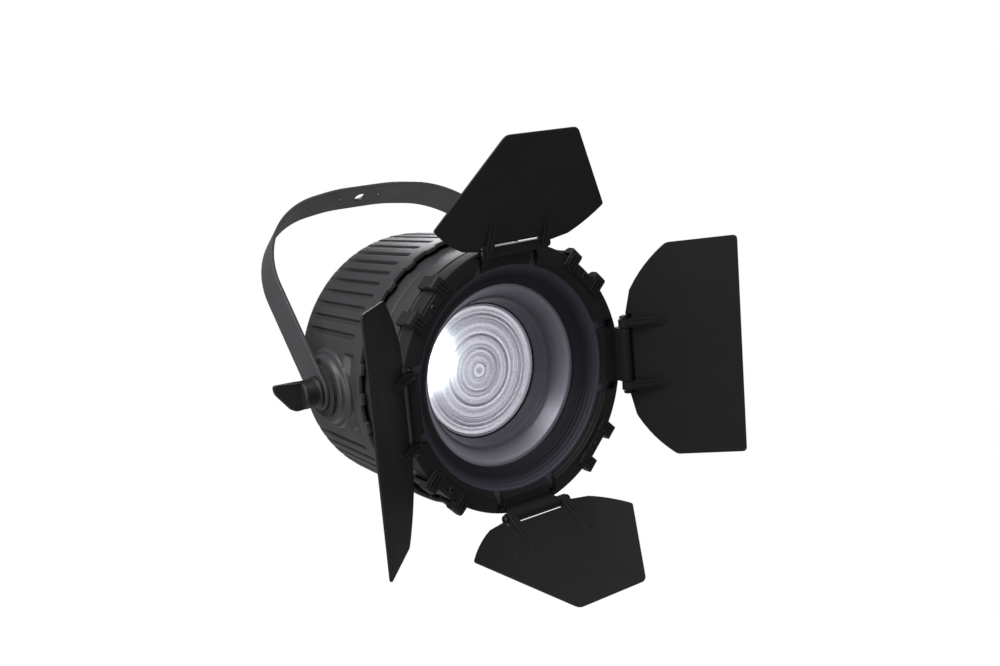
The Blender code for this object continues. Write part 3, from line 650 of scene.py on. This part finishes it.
def build_ring():
    """Door ring with a bevelled mouth, notches at the hinge arms and a raised seat between them."""
    outline = rounded([(106, 0), (RING_RADIUS, 0), (RING_RADIUS, 15.2), (116.4, 15.2), (116.4, 5.2),
                       (101, 5.2), (101, 4.2), (102.6, 3.6), (103.4, 2.2), (105, 1.4)],
                      [0.7, 1.3, 0.6, 0.3, 0.5] + [0.3] * 5, 4)
    ring = link_mesh("door_ring_casting", turned(outline, FINE))
    for side in DOOR_SIDES.values():
        turn = clock_turn(side[0])
        seat = block((-23.4, -1.2, 103.0), (23.4, 2.4, 114.4), 1.6)
        combine(ring, moved(seat, turn), "UNION")
        for direction in (-1, 1):
            middle = direction * ARM_CENTRE
            notch = block((middle - 3.9, -4, 92), (middle + 3.9, 8, 113.6), 1.6)
            combine(ring, moved(notch, turn))
    finish_piece(ring, "door", "door_paint", ("door_ring",), sharp=28)
    for tag, clock in CLIP_CLOCKS.items():
        build_clip(tag, clock)


def build_clip(tag, clock):
    """Clip with two ribbed lugs that hook over the ring, and the plate and screw between them."""
    turn = clock_turn(clock)
    hook = rounded([(-3, 108), (-3, 126.6), (6.5, 126.6), (9.5, 123.0), (22.4, 122.8), (22.4, 117.0),
                    (19.6, 117.0), (19.6, 120.7), (-0.25, 120.7), (-0.25, 108)],
                   [1.2, 3.6, 2.4, 1.5, 1.0, 0.8, 0.8, 1.5, 0.4, 0.4], 4)
    plate = block((-12, -2.4, 109.2), (12, -0.3, 118.2), 1.5)
    add_piece("clip_plate_" + tag, moved(plate, turn), "door", "door_paint",
              ("ring_clip_" + tag,), bevel=0.5)
    for direction, word in ((-1, "a"), (1, "b")):
        near, far = sorted((direction * 11.7, direction * 24.3))
        add_piece("clip_lug_%s_%s" % (tag, word), moved(prism(hook, near, far, "X"), turn), "door",
                  "door_paint", bevel=0.9)
        ribs = [block((x - 1.0, -4.2, 110.5), (x + 1.0, -2.6, 122.6), 0.7)
                for x in (near + 2.8, near + 6.3, near + 9.8)]
        add_piece("clip_ribs_%s_%s" % (tag, word), moved(join(*ribs), turn), "door", "door_paint",
                  bevel=0.35)
    centre = turn @ Vector((0, -2.4, 113.7))
    add_screw("clip_screw_" + tag, centre, (0, -1, 0), "door", 3.0, "black_plastic")


def leaf_half(tip, reach, knee):
    """Half of a leaf, from the hinge edge round the ring-shaped corner to the outer edge."""
    corner, centre, start = 1.045, 0.979, 0.016
    points = [(0.31, 0.06), (0.31, start)]
    for step in range(1, 9):
        v = start + (knee - start) * step / 8
        points.append((math.sqrt(corner ** 2 - (v - centre) ** 2), v))
    points.append((tip, reach))
    return [(x * RING_RADIUS, v * RING_RADIUS) for x, v in points]


def build_leaf(tag, settings):
    """One leaf, its two arms with their gussets, the hinge bar between them and the pin's screws."""
    clock, tip, reach, knee, offset = DOOR_SIDES[tag]
    turn, body = clock_turn(clock), "leaf_" + tag
    axis = Vector((0, -HINGE_FORWARD, HINGE_RADIUS))
    opening = -JOINTS["leaf_%s_fold" % tag]["range_deg"][0]
    place = turn @ Matrix.Translation(axis) @ Matrix.Rotation(-math.radians(opening), 4, "X")
    thick = settings.thickness / MM
    half = leaf_half(tip, reach, knee)
    corners = [0.8, 0.6] + [0.0] * 7 + [5.0, settings.corner / MM * 2]
    outline = rounded(half + [(-x, v) for x, v in reversed(half)], corners + corners[::-1], 5)
    plate = prism([(x, -v) for x, v in outline], offset - thick / 2, offset + thick / 2)
    add_piece("leaf_plate_" + tag, moved(plate, place), body, "door_paint", ("door_leaf_" + tag,),
              bevel=0.45)
    root = offset - 0.3 * thick
    for direction, word in ((-1, "a"), (1, "b")):
        middle = direction * ARM_CENTRE
        strap = arc((0, 0), 5.2, 62, 300, 24) + [(9, root), (40, root), (40, offset + 1.4)]
        arm = prism([(y, -v) for v, y in strap], middle - ARM_WIDTH / 2, middle + ARM_WIDTH / 2, "X")
        add_piece("leaf_arm_%s_%s" % (tag, word), moved(arm, place), body, "door_paint", bevel=0.6)
        gusset = [(4.0, 5.4), (12, 5.2), (38, offset + 1.8), (39, offset + 0.6), (4.0, offset + 0.6)]
        rib = prism([(y, -v) for v, y in rounded(gusset, 1.0, 3)], middle - 1.3, middle + 1.3, "X")
        add_piece("leaf_gusset_%s_%s" % (tag, word), moved(rib, place), body, "door_paint", bevel=0.3)
        face = turn @ (axis + Vector((direction * 34.6, 0, 0)))
        add_screw("hinge_screw_%s_%s" % (tag, word), face, turn.to_3x3() @ Vector((direction, 0, 0)),
                  "door", 4.1, "black_oxide", ("hinge_pin_" + tag,) if word == "a" else ())
    bar = rounded([(-HINGE_FORWARD - 4.4, HINGE_RADIUS - 4.8), (-HINGE_FORWARD - 4.4, HINGE_RADIUS + 4.4),
                   (-7.5, HINGE_RADIUS + 4.4), (-1.5, HINGE_RADIUS + 1.5), (-1.5, HINGE_RADIUS - 4.8)],
                  [4.2, 4.2, 3.0, 0.6, 0.6], 6)
    add_piece("hinge_bar_" + tag, moved(prism(bar, -25.2, 25.2, "X"), turn), "door", "door_paint",
              ("hinge_block_" + tag,), bevel=0.5)
    pin = turned([(0, -34.4), (2.1, -34.4), (2.1, 34.4), (0, 34.4)], 24, "X",
                 (-HINGE_FORWARD, HINGE_RADIUS))
    add_piece("hinge_shaft_" + tag, moved(pin, turn), "door", "black_oxide")


# ---- yoke and locks

def yoke_side(offset, steps):
    """One side of the strap, from the left foot over the top to the right foot, from the pivot."""
    inside, corner_radius, shoulder, top = 131, 87, 192, 195
    corner = (inside - corner_radius, shoulder - corner_radius)
    right = [(inside + offset, -17)] + arc(corner, corner_radius + offset, 0, 80, steps)
    right += [(x, top + offset - drop) for x, drop in ((49, 2.7), (41, 1.5), (33, 0.6), (25, 0.1), (18, 0))]
    return [(-x, z) for x, z in right] + right[::-1]


def build_yoke(settings):
    """Bent steel strap with round feet, its bolt hole and the two locating holes."""
    strap, half = settings.strap / MM, settings.width / MM / 2
    bm = prism(yoke_side(strap, 20) + yoke_side(0, 20)[::-1], -half, half)
    feet = [e for e in bm.edges if all(abs(v.co.z + half) < 1e-3 for v in e.verts)
            and abs(e.verts[0].co.y - e.verts[1].co.y) < 1e-3]
    bmesh.ops.bevel(bm, geom=feet, offset=half * 0.96, segments=12, profile=0.5, affect="EDGES")
    lean = Matrix.Translation((0, PIVOT_DEPTH, 0)) @ Matrix.Rotation(-YOKE_LEAN, 4, "X")
    yoke = link_mesh("yoke_strap", moved(bm, lean))
    for x, radius in ((0, 5.3), (-22, 2.2), (22, 2.2)):
        cutter = turned([(0, 170), (radius, 170), (radius, 210), (0, 210)], 40)
        upright = Matrix.Translation((x, 0, 0)) @ Matrix.Rotation(math.radians(90), 4, "X")
        combine(yoke, moved(cutter, lean @ upright))
    finish_piece(yoke, "yoke", "yoke_paint", ("yoke",), bevel=0.55, sharp=40)


def build_locks():
    """Hub with a grooved skirt and a slanted paddle, on each side."""
    for side, tag in ((-1, "left"), (1, "right")):
        body = "tilt_lock_" + tag
        groove = []
        for x in range(139, 147, 2):
            groove += [(12.9, x), (12.9, x + 1.2), (12.3, x + 1.4), (12.3, x + 1.8)]
        outline = [(0, LOCK_FACE), (14.4, LOCK_FACE), (14.4, 136.8), (13.2, 137.8)] + groove + [
            (13.1, 147.2), (12.6, 150), (11, 151.2), (0, 151.2)]
        hub = turned([(r, side * x) for r, x in rounded(outline, 0.5, 3)], 72, "X", (PIVOT_DEPTH, 0))
        add_piece("lock_hub_" + tag, hub, body, "black_plastic", (body,), sharp=34)
        stud = [(0, 115.2), (4.7, 115.2), (4.7, 134.5), (0, 134.5)]
        add_piece("lock_stud_" + tag, turned([(r, side * x) for r, x in stud], 32, "X", (PIVOT_DEPTH, 0)),
                  body, "plated_steel")
        paddle = rounded([(139, 10.5), (150, 12.8), (175.0, 13.6), (174.0, 5.6), (158.6, -13.4),
                          (149, -11.8), (139, -10.5)], [1, 14, 5.5, 9, 7, 14, 1], 6)
        grip = prism([(side * x, z) for x, z in paddle], PIVOT_DEPTH - 5.4, PIVOT_DEPTH + 4.6)
        for vert in grip.verts:
            slim = smooth((abs(vert.co.x) - 146) / 26)
            vert.co.y += 7.4 * slim if vert.co.y < PIVOT_DEPTH else 0.8 * slim
        add_piece("lock_paddle_" + tag, grip, body, "black_plastic", bevel=1.5, sharp=40)


# ---- back

def build_cover():
    """Round back plate: vent slots, a raised border, and openings for the controls and sockets."""
    outline = rounded([(0, 190.6), (103.6, 190.6), (103.6, 193.2), (102.6, 194.4), (99.5, 194.4),
                       (98.6, 193.6), (0, 193.6)], [0, 0.2, 0.5, 0.5, 0.5, 0.5, 0], 3)
    cover = link_mesh("back_plate", turned(outline, 144))
    through = (185, 200)
    cuts = []
    for height in range(-36, 37, 12):
        cuts.append(prism(stadium((0, height), math.sqrt(44 ** 2 - height ** 2) + 2, 2.2), *through))
    cuts.append(block((-42.3, through[0], 54.7), (4.3, through[1], 77.3), 2.0))
    cuts += [prism(arc((x, BUTTON_HEIGHT), 4.5, 0, 345, 23), *through) for x in BUTTONS]
    cuts += [prism(arc((x, SOCKET_HEIGHT), 12, 0, 350, 35), *through) for x, _ in SOCKETS.values()]
    cuts.append(prism(arc(FUSE, 7.5, 0, 345, 23), *through))
    combine(cover, join(*cuts))
    finish_piece(cover, "head", "cast_body", ("rear_cover",))
    for number in range(1, 5):
        angle = math.radians(45 + 90 * (number - 1))
        add_screw("back_screw_%d" % number, (98.5 * math.cos(angle), 194.0, 98.5 * math.sin(angle)),
                  (0, 1, 0), "head", 3.6, "plated_steel", ("cover_screw_%d" % number,))


def build_sockets():
    """Round chassis sockets with contacts inside; the mains pair has flat blades, the data pair pins."""
    for name, (x, contacts) in SOCKETS.items():
        outline = rounded([(0, 177), (11.4, 177), (11.4, 193.9), (14.6, 193.9), (14.6, 196.0), (13.2, 197.0),
                           (10.4, 197.0), (9.4, 196.2), (9.4, 186), (0, 186)], 0.5, 3)
        add_piece("socket_shell_" + name, turned(outline, 64, "Y", (x, SOCKET_HEIGHT)), "head",
                  "black_plastic", (name,))
        pins = []
        for i in range(contacts):
            angle = math.radians(90 + 360 * i / contacts)
            px, pz = x + 4.6 * math.cos(angle), SOCKET_HEIGHT + 4.6 * math.sin(angle)
            if contacts == 3:
                pins.append(block((px - 0.7, 185.8, pz - 1.9), (px + 0.7, 192.6, pz + 1.9), 0.4))
            else:
                pins.append(turned([(0, 185.8), (1.1, 185.8), (1.1, 192.4), (0.5, 193.2), (0, 193.2)], 20,
                                   "Y", (px, pz)))
        add_piece("socket_contacts_" + name, join(*pins), "head", "brass")
        for corner, dx in (("a", -12.0), ("b", 12.0)):
            add_screw("socket_screw_%s_%s" % (name, corner), (x + dx, 196.4, SOCKET_HEIGHT), (0, 1, 0),
                      "head", 1.5)


def build_controls():
    """Display, menu buttons, fuse cap and the eye for the safety cable."""
    add_piece("display_pane", block((-42, 188, 55), (4, 192.6, 77), 1.8), "head", "display",
              ("display_window",), bevel=0.4)
    bezel = link_mesh("display_border", block((-45, 193.2, 52), (7, 194.6, 80), 3.0))
    combine(bezel, block((-41.5, 190, 55.5), (3.5, 197, 76.5), 1.8))
    finish_piece(bezel, "head", "black_plastic", bevel=0.3)
    for number, x in enumerate(BUTTONS, 1):
        body = "menu_button_%d" % number
        cap = rounded([(0, 186.6), (4, 186.6), (4, 196.2), (2.6, 197.0), (0, 197.2)], [0, 0.3, 0.9, 1.5, 0],
                      4)
        add_piece("button_cap_%d" % number, turned(cap, 48, "Y", (x, BUTTON_HEIGHT)), body, "black_plastic",
                  (body,))
        guard = rounded([(4.5, 193.2), (6.2, 193.2), (6.0, 194.6), (4.9, 194.6)], 0.3, 3)
        add_piece("button_guard_%d" % number, turned(guard, 48, "Y", (x, BUTTON_HEIGHT)), "head",
                  "black_plastic")
    fuse = rounded([(0, 177), (6.9, 177), (6.9, 193.9), (9.2, 193.9), (9.2, 196), (7.2, 196.4), (6.6, 199.8),
                    (0, 199.8)], 0.5, 3)
    cap = link_mesh("fuse_cap", turned(fuse, 48, "Y", FUSE))
    combine(cap, block((68, 198.6, -40.8), (80, 203, -39.2)))
    finish_piece(cap, "head", "black_plastic", ("fuse_holder",))
    blade = rounded([(194.4, 83.5), (203, 84.0), (209.5, 87), (209.5, 94), (203, 97), (194.4, 97.5)],
                    [0.3, 4, 5, 5, 4, 0.3], 6)
    eye = link_mesh("cable_eye", prism(blade, -1.6, 1.6, "X"))
    combine(eye, turned([(0, -6), (3.7, -6), (3.7, 6), (0, 6)], 40, "X", (204, 90.5)))
    finish_piece(eye, "head", "plated_steel", ("safety_eye",), bevel=0.5, sharp=40)
    add_piece("cable_eye_foot", block((-10, 194.1, 83.2), (10, 196.4, 97.8), 3.0), "head", "plated_steel",
              bevel=0.4)
    for dx, word in ((-6.6, "a"), (6.6, "b")):
        add_screw("cable_eye_screw_" + word, (dx, 196.2, 90.5), (0, 1, 0), "head", 2.2)


def coat_frame_nodes():
    """Give each node that is still shown the finish of its own slot."""
    for name, node in frame["nodes"].items():
        finish = FINISHES[SLOTS[name]]
        for slot in node.material_slots:
            slot.material = finish


# ---- stage

def add_camera():
    """A slightly rolled view from the lamp's left front, a little above it."""
    side, rise, roll = math.radians(VIEW_SIDE), math.radians(VIEW_RISE), math.radians(VIEW_ROLL)
    back = Vector((math.sin(side) * math.cos(rise), -math.cos(side) * math.cos(rise), math.sin(rise)))
    level = Vector((math.cos(side), math.sin(side), 0))
    above = back.cross(level)
    right = level * math.cos(roll) + above * math.sin(roll)
    up = above * math.cos(roll) - level * math.sin(roll)
    aim = FACE - right * 15.4 * MM + up * 40.6 * MM
    camera = bpy.data.objects.new("camera", bpy.data.cameras.new("camera"))
    bpy.context.scene.collection.objects.link(camera)
    camera.data.lens = 44.25
    camera.data.sensor_width = 36
    turn = Matrix((right, up, back)).transposed().to_4x4()
    camera.matrix_world = Matrix.Translation(aim + back * VIEW_DISTANCE) @ turn
    bpy.context.scene.camera = camera


def add_soft_light(name, place, size, power, tint):
    """A square soft light that faces the lamp."""
    lamp = bpy.data.lights.new(name, "AREA")
    lamp.size = size
    lamp.energy = power
    lamp.color = hex_colour(tint)[:3]
    holder = bpy.data.objects.new(name, lamp)
    bpy.context.scene.collection.objects.link(holder)
    middle = FACE + Vector((0, PIVOT_DEPTH * MM, 0))
    holder.location = middle + Vector(place)
    holder.rotation_euler = Vector(place).to_track_quat("Z", "Y").to_euler()


def add_stage(settings):
    """Pale floor far under the hanging lamp, white surroundings and three soft lights."""
    floor = bpy.data.objects.new("floor", bpy.data.meshes.new("floor"))
    bm = bmesh.new()
    bmesh.ops.create_circle(bm, cap_ends=True, segments=96, radius=0.8)
    bm.to_mesh(floor.data)
    bm.free()
    bpy.context.scene.collection.objects.link(floor)
    floor.location = (FACE.x, FACE.y + PIVOT_DEPTH * MM, -settings.floor_drop)
    paper, tree, shader, place = new_finish("matte_white_board", Roughness=0.9)
    cloud = add_node(tree, "ShaderNodeTexNoise", {"Vector": place, "Scale": 4.0})
    tone = add_node(tree, "ShaderNodeMix", {
        0: cloud.outputs["Fac"], 6: hex_colour("#e9e9ea"), 7: hex_colour("#f2f2f2")}, data_type="RGBA")
    feed(tree, shader, {"Base Color": tone.outputs[2]})
    floor.data.materials.append(paper)

    world = bpy.data.worlds.new("white_surroundings")
    world.use_nodes = True
    tree = world.node_tree
    # white where the camera sees it, dimmer as a light
    seen = add_node(tree, "ShaderNodeLightPath").outputs["Is Camera Ray"]
    strength = add_node(tree, "ShaderNodeMapRange", {"Value": seen, "To Min": 0.30, "To Max": 1.0})
    feed(tree, tree.nodes["Background"], {"Strength": strength.outputs["Result"], "Color": (1, 1, 1, 1)})
    bpy.context.scene.world = world
    bpy.context.scene.view_settings.view_transform = "Standard"

    add_soft_light("key_light", (-0.75, -0.35, 1.25), 0.9, settings.key_power, "#ffffff")
    add_soft_light("side_light", (-1.5, -0.2, 0.1), 0.8, settings.key_power * 0.35, "#ffffff")
    add_soft_light("back_light", (0.9, 1.2, 0.7), 0.8, settings.key_power * 0.6, "#fbfbff")


# ---- add-on

class SPOTLIGHT_OT_camera(bpy.types.Operator):
    """Add the camera and make every finish"""
    bl_idname = "spotlight.camera"
    bl_label = "Camera and finishes"

    def execute(self, context):
        add_camera()
        make_finishes(context.scene)
        return {"FINISHED"}


class SPOTLIGHT_OT_housing(bpy.types.Operator):
    """Build the ribbed housing and its pivot pads"""
    bl_idname = "spotlight.housing"
    bl_label = "Housing"

    def execute(self, context):
        build_housing(context.scene.spotlight_body)
        return {"FINISHED"}


class SPOTLIGHT_OT_nose(bpy.types.Operator):
    """Build the barrel, the grooved baffle and the bezel"""
    bl_idname = "spotlight.nose"
    bl_label = "Barrel and nose"

    def execute(self, context):
        build_barrel()
        build_nose()
        return {"FINISHED"}


class SPOTLIGHT_OT_lens(bpy.types.Operator):
    """Build the stepped lens and its spring ring"""
    bl_idname = "spotlight.lens"
    bl_label = "Lens"

    def execute(self, context):
        build_lens(context.scene.spotlight_body)
        return {"FINISHED"}


class SPOTLIGHT_OT_ring(bpy.types.Operator):
    """Build the door ring and its clips"""
    bl_idname = "spotlight.ring"
    bl_label = "Door ring"

    def execute(self, context):
        build_ring()
        return {"FINISHED"}


class SPOTLIGHT_OT_leaves(bpy.types.Operator):
    """Build the four leaves with their hinges"""
    bl_idname = "spotlight.leaves"
    bl_label = "Leaves"

    def execute(self, context):
        for tag in DOOR_SIDES:
            build_leaf(tag, context.scene.spotlight_door)
        return {"FINISHED"}


class SPOTLIGHT_OT_yoke(bpy.types.Operator):
    """Build the yoke and the tilt locks"""
    bl_idname = "spotlight.yoke"
    bl_label = "Yoke and locks"

    def execute(self, context):
        build_yoke(context.scene.spotlight_yoke)
        build_locks()
        return {"FINISHED"}


class SPOTLIGHT_OT_back(bpy.types.Operator):
    """Build the back plate, its sockets and its controls"""
    bl_idname = "spotlight.back"
    bl_label = "Back"

    def execute(self, context):
        build_cover()
        build_sockets()
        build_controls()
        return {"FINISHED"}


class SPOTLIGHT_OT_inner(bpy.types.Operator):
    """Coat the inner pieces that keep their own shape"""
    bl_idname = "spotlight.inner"
    bl_label = "Inner pieces"

    def execute(self, context):
        coat_frame_nodes()
        return {"FINISHED"}


class SPOTLIGHT_OT_stage(bpy.types.Operator):
    """Add the floor, the surroundings and the lights"""
    bl_idname = "spotlight.stage"
    bl_label = "Stage"

    def execute(self, context):
        add_stage(context.scene.spotlight_stage)
        return {"FINISHED"}


OPERATORS = (SPOTLIGHT_OT_camera, SPOTLIGHT_OT_housing, SPOTLIGHT_OT_nose, SPOTLIGHT_OT_lens,
             SPOTLIGHT_OT_ring, SPOTLIGHT_OT_leaves, SPOTLIGHT_OT_yoke, SPOTLIGHT_OT_back,
             SPOTLIGHT_OT_inner, SPOTLIGHT_OT_stage)
SETTINGS = {"spotlight_body": BodySettings, "spotlight_door": DoorSettings, "spotlight_yoke": YokeSettings,
            "spotlight_stage": StageSettings}


class SPOTLIGHT_PT_panel(bpy.types.Panel):
    """Lists the spotlight's sizes, colours and building steps"""
    bl_idname = "SPOTLIGHT_PT_panel"
    bl_label = "Fresnel Spotlight"
    bl_space_type = "VIEW_3D"
    bl_region_type = "UI"
    bl_category = "Spotlight"

    def draw(self, context):
        for name in SETTINGS:
            group = getattr(context.scene, name)
            for key in group.bl_rna.properties.keys():
                if key not in ("rna_type", "name"):
                    self.layout.prop(group, key)
        for operator in OPERATORS:
            self.layout.operator(operator.bl_idname)


def register():
    for group in SETTINGS.values():
        bpy.utils.register_class(group)
    for name, group in SETTINGS.items():
        setattr(bpy.types.Scene, name, bpy.props.PointerProperty(type=group))
    for operator in OPERATORS:
        bpy.utils.register_class(operator)
    bpy.utils.register_class(SPOTLIGHT_PT_panel)


def unregister():
    bpy.utils.unregister_class(SPOTLIGHT_PT_panel)
    for operator in reversed(OPERATORS):
        bpy.utils.unregister_class(operator)
    for name, group in SETTINGS.items():
        delattr(bpy.types.Scene, name)
        bpy.utils.unregister_class(group)


def main():
    register()
    for operator in OPERATORS:
        getattr(bpy.ops.spotlight, operator.bl_idname.split(".")[1])()
    bpy.context.view_layer.update()


if __name__ == "__main__":
    main()
